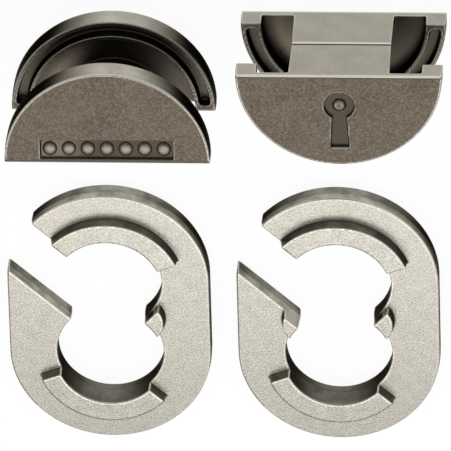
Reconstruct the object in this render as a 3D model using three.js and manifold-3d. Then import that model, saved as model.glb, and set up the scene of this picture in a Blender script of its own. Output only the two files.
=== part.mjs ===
// A disc padlock taken apart: four castings lying flat on one surface.
//
// Two half-disc castings carry two plates each, joined by half of the round hub. Two C-shaped
// links have a pair of overlapping eyes and a slanted gap. Put together, the two half hubs make
// a full round hub, both links turn on it side by side between the plates, and the upper ends
// of the links stand out of the disc as the shackle.
//
// Millimetres, +Z up. The origin is at the bottom centre of the laid-out set.

import * as THREE from 'three';
import { mergeVertices } from 'three/addons/utils/BufferGeometryUtils.js';
import Module from 'manifold-3d';

const wasm = await Module();
wasm.setup();

// ---- driving dimensions -------------------------------------------------------------------

// Disc and links
const DISC_RADIUS = 22.5;         // outside of the disc and of the round ends of the links
const HUB_RADIUS = 11.0;
const EYE_CLEARANCE = 0.8;        // all round, between the hub and a link's eye
const EYE_SPACING = 18.0;         // between the two eye centres of one link
const LINK_THICKNESS = 5.2;
const RIB_HEIGHT = 2.9;           // how far a rib or bump stands above the link's face
const RIB_WIDTH = 5.0;            // from the edge of the eye outward
const RIB_SWEEP = 116;            // degrees that one rib runs round its eye
const GAP_ANGLE = 137;            // degrees, the direction of the slanted gap
const BUMP_CORNER = 2.5;          // cut off each side of a bump's outer corner

// Half-disc castings
const RIM_CLEARANCE = 1.2;        // between the outside of a rib and the inside of a rim
const RIM_DEPTH = 5.3;            // thickness of a plate at its rim
const WEB_THICKNESS = 1.5;        // thickness of a plate inside the rim
const END_PLAY = 0.6;             // of the two links with their ribs between the rims
const GROOVE_OUTER_WALL = 1.1;
const GROOVE_INNER_WALL = 0.9;
const GROOVE_END_WALL = 1.3;
const GROOVE_DEPTH = 2.6;

// Dowels that join a front casting to its rear casting
const DOWEL_RADIUS = 1.5;
const DOWEL_LENGTH = 10.0;
const DOWEL_CLEARANCE = 0.3;
const DOWEL_OFFSET = 6.0;         // sideways from the middle of the hub
const DOWEL_DEPTH_IN_HUB = 4.2;   // from the split face

// False keyhole on the lower half
const KEYHOLE_SINK = 0.8;
const KEYHOLE_DROP = 7.6;         // of the ring's centre below the split face
const KEYHOLE_RING_RADIUS = 3.3;
const KEYHOLE_BOSS_RADIUS = 1.5;
const KEYHOLE_SLOT_END = 18.0;    // below the split face
const KEYHOLE_SLOT_TOP_WIDTH = 3.0;
const KEYHOLE_SLOT_END_WIDTH = 4.0;

// Sunk strip with plain raised studs on the upper half
const STRIP_SINK = 0.8;
const STRIP_WIDTH = 29.0;
const STRIP_START = 0.8;          // from the split face
const STRIP_HEIGHT = 4.8;
const STUD_COUNT = 7;
const STUD_WIDTH = 3.2;
const STUD_HEIGHT = 3.6;
const STUD_RISE = 0.6;            // above the strip's floor

// Layout of the set on the surface
const COLUMN_GAP = 5.9;           // between the left and the right pieces
const ROW_GAP = 22.3;             // between the links' round ends and the half discs
const ROW_SHIFT = 2.6;            // of the half discs towards +X from above the links

// ---- sizes that follow --------------------------------------------------------------------

const EYE_RADIUS = HUB_RADIUS + EYE_CLEARANCE;
const RIB_RADIUS = EYE_RADIUS + RIB_WIDTH;
const RIM_RADIUS = RIB_RADIUS + RIM_CLEARANCE;
const SLOT_WIDTH = 2 * (LINK_THICKNESS + RIB_HEIGHT) + END_PLAY;
const TOTAL_DEPTH = SLOT_WIDTH + 2 * RIM_DEPTH;
const SPLIT_HEIGHT = TOTAL_DEPTH / 2;
const LINK_LENGTH = 2 * DISC_RADIUS + EYE_SPACING;
const SET_LENGTH = LINK_LENGTH + ROW_GAP + DISC_RADIUS;
const COLUMN_X = DISC_RADIUS + COLUMN_GAP / 2;
const LINK_Y = DISC_RADIUS - SET_LENGTH / 2;
const DISC_BOTTOM_Y = SET_LENGTH / 2 - DISC_RADIUS;
const DISC_TOP_Y = SET_LENGTH / 2;

const OVERLAP = 0.5;              // how deep joined solids run into each other
const PAST = 1.0;                 // how far a cutting solid runs past the face it cuts
const ARC_STEP = 5;               // degrees between the points of an arc

// ---- outlines -----------------------------------------------------------------------------

const radians = THREE.MathUtils.degToRad;
const degrees = THREE.MathUtils.radToDeg;

/** Points of an arc about (x, y), both ends included, angles in degrees. */
function arc(x, y, radius, from, to) {
  const steps = Math.max(1, Math.ceil(Math.abs(to - from) / ARC_STEP));
  return Array.from({ length: steps + 1 }, (_, i) => {
    const angle = radians(from + ((to - from) * i) / steps);
    return new THREE.Vector2(x + radius * Math.cos(angle), y + radius * Math.sin(angle));
  });
}

function circle(x, y, radius) {
  return arc(x, y, radius, 0, 360 - ARC_STEP);
}

function rectangle(x0, y0, x1, y1) {
  return [[x0, y0], [x1, y0], [x1, y1], [x0, y1]].map(([x, y]) => new THREE.Vector2(x, y));
}

/** Half of an annulus (or, without an inner radius, half a disc) above the line y = start. */
function halfRing(outer, inner, start = 0) {
  const trim = (radius) => degrees(Math.asin(start / radius));
  const outside = arc(0, 0, outer, trim(outer), 180 - trim(outer));
  if (!inner) return outside;
  return [...outside, ...arc(0, 0, inner, 180 - trim(inner), trim(inner))];
}

/** Part of an annulus about (x, y). */
function ringSector(x, y, inner, outer, from, to) {
  return [...arc(x, y, outer, from, to), ...arc(x, y, inner, to, from)];
}

// ---- solids -------------------------------------------------------------------------------

/** A closed three.js geometry as a solid that can be joined and cut. */
function solidOf(geometry) {
  geometry.deleteAttribute('normal');
  geometry.deleteAttribute('uv');
  const merged = mergeVertices(geometry);
  return new wasm.Manifold(new wasm.Mesh({
    numProp: 3,
    vertProperties: new Float32Array(merged.getAttribute('position').array),
    triVerts: new Uint32Array(merged.index.array),
  }));
}

/** The outline pulled up from one height to another. */
function prism(outline, bottom, top) {
  const shape = new THREE.Shape(outline);
  const geometry = new THREE.ExtrudeGeometry(shape, { depth: top - bottom, bevelEnabled: false });
  return solidOf(geometry.translate(0, 0, bottom));
}

function joined(first, ...others) {
  return others.reduce((solid, other) => solid.add(other), first);
}

function cut(first, ...others) {
  return others.reduce((solid, other) => solid.subtract(other), first);
}

function geometryOf(solid) {
  const mesh = solid.getMesh();
  const geometry = new THREE.BufferGeometry();
  geometry.setAttribute('position', new THREE.BufferAttribute(new Float32Array(mesh.vertProperties), 3));
  geometry.setIndex(new THREE.BufferAttribute(new Uint32Array(mesh.triVerts), 1));
  geometry.computeVertexNormals();
  return geometry;
}

function piece(name, geometry, material) {
  const mesh = new THREE.Mesh(geometry, material);
  mesh.name = name;
  return mesh;
}

// ---- materials ----------------------------------------------------------------------------

const linkMetal = new THREE.MeshStandardMaterial({ color: '#c2bbb1', roughness: 0.42, metalness: 0.9 });
const discMetal = new THREE.MeshStandardMaterial({ color: '#77706a', roughness: 0.5, metalness: 0.9 });
const dowelMetal = new THREE.MeshStandardMaterial({ color: '#a8a8a8', roughness: 0.35, metalness: 1.0 });

// ---- links --------------------------------------------------------------------------------

/**
 * The raised bump at the waist between the two eyes, on the right (side = 1) or on the left
 * (side = -1). It lies where ribs of both eyes would cross. Its top edge leaves the waist in the
 * mirrored direction of the gap.
 */
function bumpOutline(side) {
  const crossing = EYE_SPACING / 2;
  const waist = new THREE.Vector2(Math.sqrt(EYE_RADIUS ** 2 - crossing ** 2), crossing);
  const slope = radians(180 - GAP_ANGLE);
  const direction = new THREE.Vector2(Math.cos(slope), Math.sin(slope));
  const along = waist.dot(direction);
  const topLength = Math.sqrt(along ** 2 + RIB_RADIUS ** 2 - EYE_RADIUS ** 2) - along;
  const tip = waist.clone().addScaledVector(direction, topLength);
  const cornerAngle = degrees(Math.asin(crossing / RIB_RADIUS));
  const cornerTrim = degrees(BUMP_CORNER / RIB_RADIUS);
  const meetY = (EYE_RADIUS ** 2 - RIB_RADIUS ** 2 + EYE_SPACING ** 2) / (2 * EYE_SPACING);
  const meetX = Math.sqrt(EYE_RADIUS ** 2 - meetY ** 2);
  const outline = [
    ...arc(0, 0, RIB_RADIUS, degrees(tip.angle()), cornerAngle + cornerTrim),
    ...arc(0, EYE_SPACING, RIB_RADIUS, -cornerAngle - cornerTrim,
      degrees(Math.atan2(meetY - EYE_SPACING, meetX))).slice(0, -1),
    ...arc(0, 0, EYE_RADIUS, degrees(Math.atan2(meetY, meetX)), degrees(waist.angle())),
  ];
  return outline.map((point) => new THREE.Vector2(side * point.x, point.y));
}

/** One C-shaped link lying on its flat back, its lower eye about the origin. */
function link(bumpSides) {
  const body = [
    ...arc(0, EYE_SPACING, DISC_RADIUS, 0, 180),
    ...arc(0, 0, DISC_RADIUS, 180, 360),
  ];
  const reach = 2 * DISC_RADIUS;
  const slant = new THREE.Vector2(Math.cos(radians(GAP_ANGLE)), Math.sin(radians(GAP_ANGLE)));
  const gap = [
    new THREE.Vector2(0, 0),
    new THREE.Vector2(0, EYE_SPACING),
    new THREE.Vector2(reach * slant.x, EYE_SPACING + reach * slant.y),
    new THREE.Vector2(reach * slant.x, reach * slant.y),
  ];
  const gapSpace = prism(gap, -PAST, LINK_THICKNESS + RIB_HEIGHT + PAST);
  const openings = [
    prism(circle(0, 0, EYE_RADIUS), -PAST, LINK_THICKNESS + PAST),
    prism(circle(0, EYE_SPACING, EYE_RADIUS), -PAST, LINK_THICKNESS + PAST),
    gapSpace,
  ];
  const raised = (outline) => prism(outline, LINK_THICKNESS - OVERLAP, LINK_THICKNESS + RIB_HEIGHT);
  const ribs = [
    ringSector(0, EYE_SPACING, EYE_RADIUS, RIB_RADIUS, GAP_ANGLE - RIB_SWEEP, GAP_ANGLE),
    ringSector(0, 0, EYE_RADIUS, RIB_RADIUS, GAP_ANGLE + 180 - RIB_SWEEP, GAP_ANGLE + 180),
  ].map(raised);
  const bumps = bumpSides.map((side) => cut(raised(bumpOutline(side)), gapSpace));
  return geometryOf(joined(cut(prism(body, 0, LINK_THICKNESS), ...openings), ...ribs, ...bumps));
}

// ---- half-disc castings -------------------------------------------------------------------

const dowelPlaces = [-DOWEL_OFFSET, DOWEL_OFFSET];

/**
 * One plate with its half of the half hub, lying on its outer face. The split face is the
 * plane y = 0 and the metal is on its +Y side.
 */
function casting(...outsideCuts) {
  const recess = [
    ...halfRing(RIM_RADIUS),
    new THREE.Vector2(-RIM_RADIUS, -PAST),
    new THREE.Vector2(RIM_RADIUS, -PAST),
  ];
  const plate = cut(
    prism(halfRing(DISC_RADIUS), 0, RIM_DEPTH),
    prism(recess, WEB_THICKNESS, RIM_DEPTH + PAST),
    prism(halfRing(DISC_RADIUS - GROOVE_OUTER_WALL, RIM_RADIUS + GROOVE_INNER_WALL, GROOVE_END_WALL),
      RIM_DEPTH - GROOVE_DEPTH, RIM_DEPTH + PAST),
  );
  const hub = prism(halfRing(HUB_RADIUS), WEB_THICKNESS - OVERLAP, SPLIT_HEIGHT);
  const dowelHoles = dowelPlaces.map((x) => prism(
    circle(x, DOWEL_DEPTH_IN_HUB, DOWEL_RADIUS + DOWEL_CLEARANCE),
    SPLIT_HEIGHT - DOWEL_LENGTH / 2 - DOWEL_CLEARANCE, SPLIT_HEIGHT + PAST));
  return cut(joined(plate, hub), ...dowelHoles, ...outsideCuts);
}

/** The sunk ring and tapered slot of the false keyhole, as the solid that cuts it. */
function keyholeCut() {
  const ring = cut(
    prism(circle(0, KEYHOLE_DROP, KEYHOLE_RING_RADIUS), -PAST, KEYHOLE_SINK),
    prism(circle(0, KEYHOLE_DROP, KEYHOLE_BOSS_RADIUS), -PAST - PAST, KEYHOLE_SINK + PAST),
  );
  const slotStart = KEYHOLE_DROP + KEYHOLE_RING_RADIUS - OVERLAP;
  const slot = prism([
    new THREE.Vector2(-KEYHOLE_SLOT_TOP_WIDTH / 2, slotStart),
    new THREE.Vector2(KEYHOLE_SLOT_TOP_WIDTH / 2, slotStart),
    new THREE.Vector2(KEYHOLE_SLOT_END_WIDTH / 2, KEYHOLE_SLOT_END),
    new THREE.Vector2(-KEYHOLE_SLOT_END_WIDTH / 2, KEYHOLE_SLOT_END),
  ], -PAST, KEYHOLE_SINK);
  return joined(ring, slot);
}

/** The sunk strip, less the plain oval studs that stay standing in it. */
function stripCut() {
  const strip = prism(rectangle(-STRIP_WIDTH / 2, STRIP_START, STRIP_WIDTH / 2, STRIP_START + STRIP_HEIGHT),
    -PAST, STRIP_SINK);
  const pitch = STRIP_WIDTH / STUD_COUNT;
  const studY = STRIP_START + STRIP_HEIGHT / 2;
  const studs = Array.from({ length: STUD_COUNT }, (_, i) => {
    const oval = circle(0, 0, 1).map((point) => new THREE.Vector2(
      (i - (STUD_COUNT - 1) / 2) * pitch + (point.x * STUD_WIDTH) / 2,
      studY + (point.y * STUD_HEIGHT) / 2));
    return prism(oval, STRIP_SINK - STUD_RISE, STRIP_SINK + PAST);
  });
  return cut(strip, ...studs);
}

/** Rear casting, front casting turned over onto it, and the dowels between them. */
function halfDisc(name, frontCut) {
  const half = new THREE.Group();
  half.add(piece(`${name}_rear_casting`, geometryOf(casting()), discMetal));

  const front = piece(`${name}_front_casting`, geometryOf(casting(frontCut)), discMetal);
  front.geometry.rotateY(Math.PI).translate(0, 0, TOTAL_DEPTH);
  half.add(front);

  const dowelShape = new THREE.CylinderGeometry(DOWEL_RADIUS, DOWEL_RADIUS, DOWEL_LENGTH, 360 / ARC_STEP);
  dowelShape.rotateX(Math.PI / 2);
  dowelPlaces.forEach((x, i) => {
    const dowel = piece(`${name}_dowel_${i + 1}`, dowelShape.clone(), dowelMetal);
    dowel.position.set(x, DOWEL_DEPTH_IN_HUB, SPLIT_HEIGHT);
    half.add(dowel);
  });
  return half;
}

// ---- the set ------------------------------------------------------------------------------

const padlock = new THREE.Group();

const upperHalf = halfDisc('upper', stripCut());
upperHalf.position.set(ROW_SHIFT / 2 - COLUMN_X, DISC_BOTTOM_Y, 0);
padlock.add(upperHalf);

const lowerHalf = halfDisc('lower', keyholeCut());
lowerHalf.position.set(ROW_SHIFT / 2 + COLUMN_X, DISC_TOP_Y, 0);
lowerHalf.rotation.z = Math.PI;
padlock.add(lowerHalf);

const leftLink = piece('left_shackle_link', link([1]), linkMetal);
leftLink.position.set(-ROW_SHIFT / 2 - COLUMN_X, LINK_Y, 0);
padlock.add(leftLink);

const rightLink = piece('right_shackle_link', link([1, -1]), linkMetal);
rightLink.position.set(COLUMN_X - ROW_SHIFT / 2, LINK_Y, 0);
padlock.add(rightLink);

export default padlock;
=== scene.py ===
"""A disc padlock taken apart: two half-disc castings and two C-shaped shackle links, lying flat.

Each casting is described as a signed distance field with its real fillets, drafts and sunk
marks, and is skinned as one closed mesh. Everything is in metres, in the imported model's frame.
"""

import math

import bpy
import numpy as np
from bpy.props import FloatProperty, FloatVectorProperty, IntProperty, PointerProperty
from mathutils import Matrix, Vector


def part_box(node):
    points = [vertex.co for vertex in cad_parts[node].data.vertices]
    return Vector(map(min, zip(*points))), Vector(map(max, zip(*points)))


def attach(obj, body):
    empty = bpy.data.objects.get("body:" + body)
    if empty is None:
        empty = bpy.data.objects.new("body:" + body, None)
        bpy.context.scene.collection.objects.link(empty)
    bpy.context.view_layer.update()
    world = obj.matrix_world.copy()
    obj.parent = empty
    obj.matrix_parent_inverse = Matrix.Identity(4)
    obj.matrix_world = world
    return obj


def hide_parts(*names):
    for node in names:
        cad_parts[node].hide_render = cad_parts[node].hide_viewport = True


bl_info = {
    "name": "Disc padlock, taken apart",
    "version": (1, 0, 0),
    "blender": (4, 5, 0),
    "location": "3D View > Sidebar > Padlock",
    "description": "Builds the castings of a take-apart disc padlock around its packed model",
    "category": "Object",
}

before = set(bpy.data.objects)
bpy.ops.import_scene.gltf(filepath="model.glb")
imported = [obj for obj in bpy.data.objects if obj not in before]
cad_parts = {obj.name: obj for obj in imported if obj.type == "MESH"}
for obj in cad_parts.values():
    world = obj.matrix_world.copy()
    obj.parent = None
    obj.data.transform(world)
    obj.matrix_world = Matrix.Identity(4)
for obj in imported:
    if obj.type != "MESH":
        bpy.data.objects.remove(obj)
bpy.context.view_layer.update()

MM = 0.001

# Grid steps of the castings' meshes
LINK_STEP = 0.26 * MM
HALF_STEP = 0.235 * MM

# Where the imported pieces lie
LINK_LOW, LINK_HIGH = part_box("left_shackle_link")
DISC_RADIUS = (LINK_HIGH.x - LINK_LOW.x) / 2
EYE_SPACING = (LINK_HIGH.y - LINK_LOW.y) - 2 * DISC_RADIUS
LINK_HEIGHT = LINK_HIGH.z
SPLIT_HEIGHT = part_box("lower_rear_casting")[1].z
TOTAL_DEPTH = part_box("lower_front_casting")[1].z


def linear(srgb_hex):
    """An sRGB hex colour as linear RGBA."""
    channels = [int(srgb_hex[i:i + 2], 16) / 255 for i in (1, 3, 5)]
    plain = [c / 12.92 if c <= 0.04045 else ((c + 0.055) / 1.055) ** 2.4 for c in channels]
    return (*plain, 1.0)


def length_prop(name, description, default):
    """A length in metres that a user can set."""
    return FloatProperty(name=name, description=description, default=default, min=0.0,
                         unit="LENGTH", subtype="DISTANCE", precision=5)


def colour_prop(name, description, srgb_hex):
    """A colour that a user can set."""
    return FloatVectorProperty(name=name, description=description, default=linear(srgb_hex),
                               size=4, min=0.0, max=1.0, subtype="COLOR")


# ---- sizes and colours that a user would change --------------------------------------------


class LinkSizes(bpy.types.PropertyGroup):
    """Sizes of a shackle link."""
    thickness: length_prop("Thickness", "Of the link without its ribs", 5.2 * MM)
    eye_radius: length_prop("Eye radius", "Of both round eyes", 11.8 * MM)
    rib_radius: length_prop("Rib radius", "Outside of the ribs, about their eye", 16.8 * MM)
    rib_sweep: FloatProperty(name="Rib sweep", description="How far a rib runs round its eye",
                             default=math.radians(116), subtype="ANGLE")
    gap_angle: FloatProperty(name="Gap angle", description="Direction of the slanted gap",
                             default=math.radians(137), subtype="ANGLE")
    parting_drop: length_prop("Parting line", "Below the ribbed face, on the outside wall",
                              1.9 * MM)
    edge_radius: length_prop("Edge radius", "Of the tumbled outer edges", 0.3 * MM)
    foot_radius: length_prop("Foot fillet", "At the foot of ribs and bumps", 0.3 * MM)
    bump_corner: length_prop("Bump corner", "Rounding of a bump's outer corner", 5.0 * MM)


class HalfSizes(bpy.types.PropertyGroup):
    """Sizes of a half-disc casting."""
    hub_radius: length_prop("Hub radius", "Of the half hub", 11.0 * MM)
    rim_radius: length_prop("Rim inner radius", "Where the rim drops to the web", 18.0 * MM)
    rim_depth: length_prop("Rim depth", "Thickness of a plate at its rim", 5.3 * MM)
    web_thickness: length_prop("Web thickness", "Thickness of a plate inside its rim", 1.5 * MM)
    groove_outer_wall: length_prop("Outer wall", "Outside of the rim's groove", 1.1 * MM)
    groove_inner_wall: length_prop("Inner wall", "Inside of the rim's groove", 0.9 * MM)
    groove_end_wall: length_prop("End wall", "Between the groove and the split face", 1.3 * MM)
    groove_depth: length_prop("Groove depth", "Below the rim's inner face", 2.6 * MM)
    edge_radius: length_prop("Edge radius", "Of the cast outer edges", 0.3 * MM)
    cut_radius: length_prop("Cut edge radius", "Of the edges round the split face", 0.15 * MM)
    dowel_radius: length_prop("Dowel hole radius", "Of the blind holes in the hub", 1.8 * MM)
    dowel_offset: length_prop("Dowel offset", "Sideways from the middle of the hub", 6.0 * MM)
    dowel_depth: length_prop("Dowel distance", "From the split face", 4.2 * MM)
    dowel_reach: length_prop("Dowel hole depth", "From the joint in the middle of the hub",
                             5.3 * MM)
    web_fillet: length_prop("Web fillet", "Where the rim meets the web", 0.7 * MM)
    groove_corner: length_prop("Groove corner", "Rounding of the groove's ends", 1.0 * MM)
    groove_fillet: length_prop("Groove fillet", "Along the groove's floor", 0.5 * MM)
    hub_fillet: length_prop("Hub fillet", "Where the hub meets the web", 0.5 * MM)
    inner_edge: length_prop("Inner edge radius", "Of the rim's inner and groove edges", 0.2 * MM)
    hole_edge: length_prop("Hole edge radius", "At the mouth of the dowel holes", 0.1 * MM)


class MarkSizes(bpy.types.PropertyGroup):
    """Sizes of the sunk marks on the two front faces."""
    sink: length_prop("Sink", "How deep the marks are sunk", 0.8 * MM)
    edge_radius: length_prop("Edge radius", "Of the marks' edges", 0.18 * MM)
    ring_drop: length_prop("Ring distance", "Of the keyhole's ring from the split face", 7.6 * MM)
    ring_radius: length_prop("Ring radius", "Outside of the keyhole's ring", 3.3 * MM)
    boss_radius: length_prop("Boss radius", "Of the boss in the ring", 1.5 * MM)
    slot_end: length_prop("Slot end", "Of the keyhole's slot from the split face", 18.0 * MM)
    slot_top_width: length_prop("Slot top width", "Where the slot leaves the ring", 3.0 * MM)
    slot_end_width: length_prop("Slot end width", "At the slot's far end", 4.0 * MM)
    strip_width: length_prop("Strip width", "Of the sunk strip", 29.0 * MM)
    strip_start: length_prop("Strip start", "From the split face", 0.8 * MM)
    strip_height: length_prop("Strip height", "Of the sunk strip", 4.8 * MM)
    strip_corner: length_prop("Strip corner", "Rounding of the strip's corners", 0.3 * MM)
    stud_count: IntProperty(name="Studs", description="Number of raised studs", default=7, min=1)
    stud_width: length_prop("Stud width", "Along the strip", 3.2 * MM)
    stud_height: length_prop("Stud height", "Across the strip", 3.6 * MM)
    stud_rise: length_prop("Stud rise", "Above the strip's floor", 0.6 * MM)


class Finish(bpy.types.PropertyGroup):
    """Colours and grain of the castings."""
    link_face: colour_prop("Link face", "Tumbled zinc", "#a8a59c")
    link_speck: colour_prop("Link speck", "Dull specks on the tumbled face", "#736e65")
    # Painted shade: the dark colour of the links' side walls, for the dark surround that they
    # reflect
    link_wall_shade: colour_prop("Link wall", "Patina on the side walls", "#45423c")
    # Painted sheen: the lighter colour of link walls that face one way, for the light that they
    # reflect
    link_wall_sheen: colour_prop("Rubbed wall", "Side walls where the patina is thin", "#b9b6ab")
    # Edges lighter as rubbed metal and painted highlight
    link_edge: colour_prop("Link edge", "Metal rubbed bright on the edges", "#e9e3d8")
    disc_face: colour_prop("Disc face", "Antique plating", "#403931")
    disc_speck: colour_prop("Disc speck", "Specks where the plating is thin", "#6a6257")
    # Painted shade: the dark colour of the castings' side walls, for the dark surround that they
    # reflect
    disc_wall_shade: colour_prop("Disc wall", "Patina on the side walls", "#2a2621")
    # Painted sheen: the lighter colour of casting walls that face one way, for the light that they
    # reflect
    disc_wall_sheen: colour_prop("Rubbed disc wall", "Side walls where the patina is thin", "#d8d3c6")
    # Edges lighter as rubbed plating and painted highlight
    disc_edge: colour_prop("Disc edge", "Plating rubbed bright on the edges", "#f2ede2")
    disc_smooth: colour_prop("Disc smooth", "Sunk floors that the brush did not reach", "#3b352c")
    cut_face: colour_prop("Cut face", "Smooth faces along the split", "#bebaae")
    # Patina, and also painted shade in corners, on dark edges, at the joint and between the plates
    patina_and_shade: colour_prop("Patina", "Dark plating left in corners and recesses", "#3d3932")
    glancing: colour_prop("Glancing", "Tint of the dulled metal at a glancing angle", "#7d7a73")
    steel: colour_prop("Steel", "Dowels", "#9c9c9a")
    steel_bright: colour_prop("Bright steel", "Where a dowel is ground finer", "#b6b6b3")
    # The real grain is about 0.1 mm. It is drawn coarser, because it would not show otherwise
    grain: length_prop("Grain", "Size of the speckle", 0.4 * MM)


class StageSizes(bpy.types.PropertyGroup):
    """Camera, lamp, surround and floor."""
    view_width: length_prop("View width", "Width of the view at the surface", 99.8 * MM)
    distance: length_prop("Distance", "From the camera to the set", 2.5)
    elevation: FloatProperty(name="Elevation", description="Of the camera above the surface",
                             default=math.radians(57.9), subtype="ANGLE")
    sideways: FloatProperty(name="Sideways", description="Turn of the camera towards +X",
                            default=math.radians(6.65), subtype="ANGLE")
    roll: FloatProperty(name="Roll", description="Of the camera about its line of sight",
                        default=math.radians(0.5), subtype="ANGLE")
    aim: FloatVectorProperty(name="Aim",
                             description="Point on the surface in the middle of the view",
                             default=(-0.68 * MM, -1.47 * MM, 0.0), unit="LENGTH")
    lamp_place: FloatVectorProperty(name="Lamp place", description="Of the one soft lamp",
                                    default=(0.0, -0.12, 0.3), unit="LENGTH")
    lamp_width: length_prop("Lamp width", "Of the lamp's panel", 0.4)
    lamp_height: length_prop("Lamp height", "Of the lamp's panel", 0.14)
    lamp_power: FloatProperty(name="Lamp power", description="In watts", default=0.6, min=0.0,
                              unit="POWER")
    horizon: colour_prop("Horizon", "Surround at the height of the floor", "#b4b4b4")
    overhead: colour_prop("Overhead", "Surround above the set", "#dedede")
    paper: colour_prop("Paper", "The sheet that the set lies on", "#fafafa")
    shadow: FloatProperty(name="Shadow", description="How strongly the white floor shows shadows",
                          default=0.07, min=0.0, max=1.0, subtype="FACTOR")


# ---- distance fields -----------------------------------------------------------------------

# Steps between a piece and the edge of its grid. The odd part keeps flat faces off its planes
GRID_MARGIN = 2.37
GRID_PARTS = 8              # measured one after the other, to save memory
SETTLING_ROUNDS = 6         # that bring the points onto the surface
FARTHEST_MOVE = 0.5         # of a point in one round, in grid steps
LEAST_STEEPNESS = 0.25
SLOPE_REACH = 0.02 * MM
NORMAL_REACH = 0.05 * MM
TINY = 1e-12                # keeps a division from failing


def common(a, b, radius):
    """What two solids share, with the edge between them rounded."""
    rounded = np.hypot(np.maximum(a + radius, 0), np.maximum(b + radius, 0))
    return np.minimum(np.maximum(a, b), -radius) + rounded


def weld(a, b, radius):
    """Two solids joined, with a fillet in the corner between them."""
    filleted = np.hypot(np.maximum(radius - a, 0), np.maximum(radius - b, 0))
    return np.maximum(np.minimum(a, b), radius) - filleted


def carve(solid, tool, radius):
    """A solid less a tool, with a rounded edge."""
    return common(solid, -tool, radius)


def between(value, low, high):
    """Distance to the span from low to high."""
    return np.maximum(low - value, value - high)


def left_of(x, y, angle):
    """Distance to the left of the line through the origin in that direction."""
    return math.cos(angle) * y - math.sin(angle) * x


def skin(name, field, low, high, step):
    """A closed mesh of the surface where a distance field is zero, with its true normals."""
    low, high = np.array(low) - GRID_MARGIN * step, np.array(high) + GRID_MARGIN * step
    counts = np.ceil((high - low) / step).astype(int) + 1
    axes = [low[i] + step * np.arange(counts[i]) for i in range(3)]
    grid = np.stack(np.meshgrid(*axes, indexing="ij"), -1).reshape(-1, 3)
    parts = np.array_split(grid, GRID_PARTS)
    value = np.concatenate([field(part) for part in parts]).reshape(counts)
    points, cell_number = cell_points(value, low, step)
    quads = cell_quads(value < 0, cell_number)
    for _ in range(SETTLING_ROUNDS):
        distance, slope = field(points), gradient(field, points, SLOPE_REACH)
        steepness = np.maximum((slope ** 2).sum(1), LEAST_STEEPNESS)
        move = -(distance / steepness)[:, None] * slope
        reach = np.linalg.norm(move, axis=1, keepdims=True)
        points = points + move * np.minimum(1, FARTHEST_MOVE * step / np.maximum(reach, TINY))
    mesh = bpy.data.meshes.new(name)
    mesh.from_pydata(points.tolist(), [], quads.tolist())
    mesh.validate()
    normals = gradient(field, points, NORMAL_REACH)
    normals /= np.maximum(np.linalg.norm(normals, axis=1, keepdims=True), TINY)
    mesh.polygons.foreach_set("use_smooth", [True] * len(mesh.polygons))
    mesh.normals_split_custom_set_from_vertices(normals.tolist())
    piece = bpy.data.objects.new(name, mesh)
    bpy.context.scene.collection.objects.link(piece)
    return piece, points, normals


def cell_points(value, low, step):
    """One point in each grid cell that the surface crosses, and the number of each cell's point."""
    cells = tuple(n - 1 for n in value.shape)
    total, crossings = np.zeros(cells + (3,)), np.zeros(cells)
    for axis in range(3):
        others = [i for i in range(3) if i != axis]
        for a in (0, 1):
            for b in (0, 1):
                start = [slice(0, cells[i]) for i in range(3)]
                start[others[0]] = slice(a, a + cells[others[0]])
                start[others[1]] = slice(b, b + cells[others[1]])
                end = list(start)
                end[axis] = slice(1, 1 + cells[axis])
                v0, v1 = value[tuple(start)], value[tuple(end)]
                crossed = (v0 < 0) != (v1 < 0)
                share = np.where(crossed, v0 / np.where(crossed, v0 - v1, 1), 0)
                total[..., axis] += share
                total[..., others[0]] += a * crossed
                total[..., others[1]] += b * crossed
                crossings += crossed
    active = crossings > 0
    corner = np.stack(np.nonzero(active), -1)
    points = low + step * (corner + total[active] / crossings[active][:, None])
    cell_number = np.full(cells, -1)
    cell_number[active] = np.arange(len(points))
    return points, cell_number


def cell_quads(inside, cell_number):
    """The four-sided faces round each grid edge that the surface crosses."""
    quads = []
    for axis in range(3):
        b, c = (axis + 1) % 3, (axis + 2) % 3
        near = [slice(1, n - 1) for n in inside.shape]
        near[axis] = slice(0, inside.shape[axis] - 1)
        far = list(near)
        far[axis] = slice(1, inside.shape[axis])
        start_inside, end_inside = inside[tuple(near)], inside[tuple(far)]
        corners = []
        for shift_b, shift_c in ((0, 0), (1, 0), (1, 1), (0, 1)):
            around = list(near)
            around[b] = slice(shift_b, shift_b + inside.shape[b] - 2)
            around[c] = slice(shift_c, shift_c + inside.shape[c] - 2)
            corners.append(cell_number[tuple(around)])
        ring = np.stack(corners, -1)
        quads.append(ring[start_inside & ~end_inside])
        quads.append(ring[~start_inside & end_inside][:, ::-1])
    return np.concatenate(quads)


def gradient(field, points, reach):
    """The field's slope along each axis, measured over reach to both sides."""
    steps = np.eye(3) * reach
    return np.stack([(field(points + s) - field(points - s)) / (2 * reach) for s in steps], -1)


def bend(field, points, reach):
    """How far the surface bends away within reach: 1 on a sharp edge, -1 in a sharp corner."""
    around = sum(field(points + s) + field(points - s) for s in np.eye(3) * reach)
    return around / (2 * reach)


def add_attribute(piece, name, values):
    """A value from 0 to 1 at each vertex, for the materials to read."""
    attribute = piece.data.attributes.new(name, "FLOAT", "POINT")
    attribute.data.foreach_set("value", np.clip(values, 0, 1).astype(np.float32))


def ramp(value, low, high):
    """A smooth step, from 0 at low to 1 at high."""
    share = np.clip((value - low) / (high - low), 0, 1)
    return share * share * (3 - 2 * share)


def near(distance, reach, fade):
    """1 close by and 0 beyond reach, falling over the last part of it."""
    return ramp(reach - distance, 0, fade)


# ---- wear ----------------------------------------------------------------------------------

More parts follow.
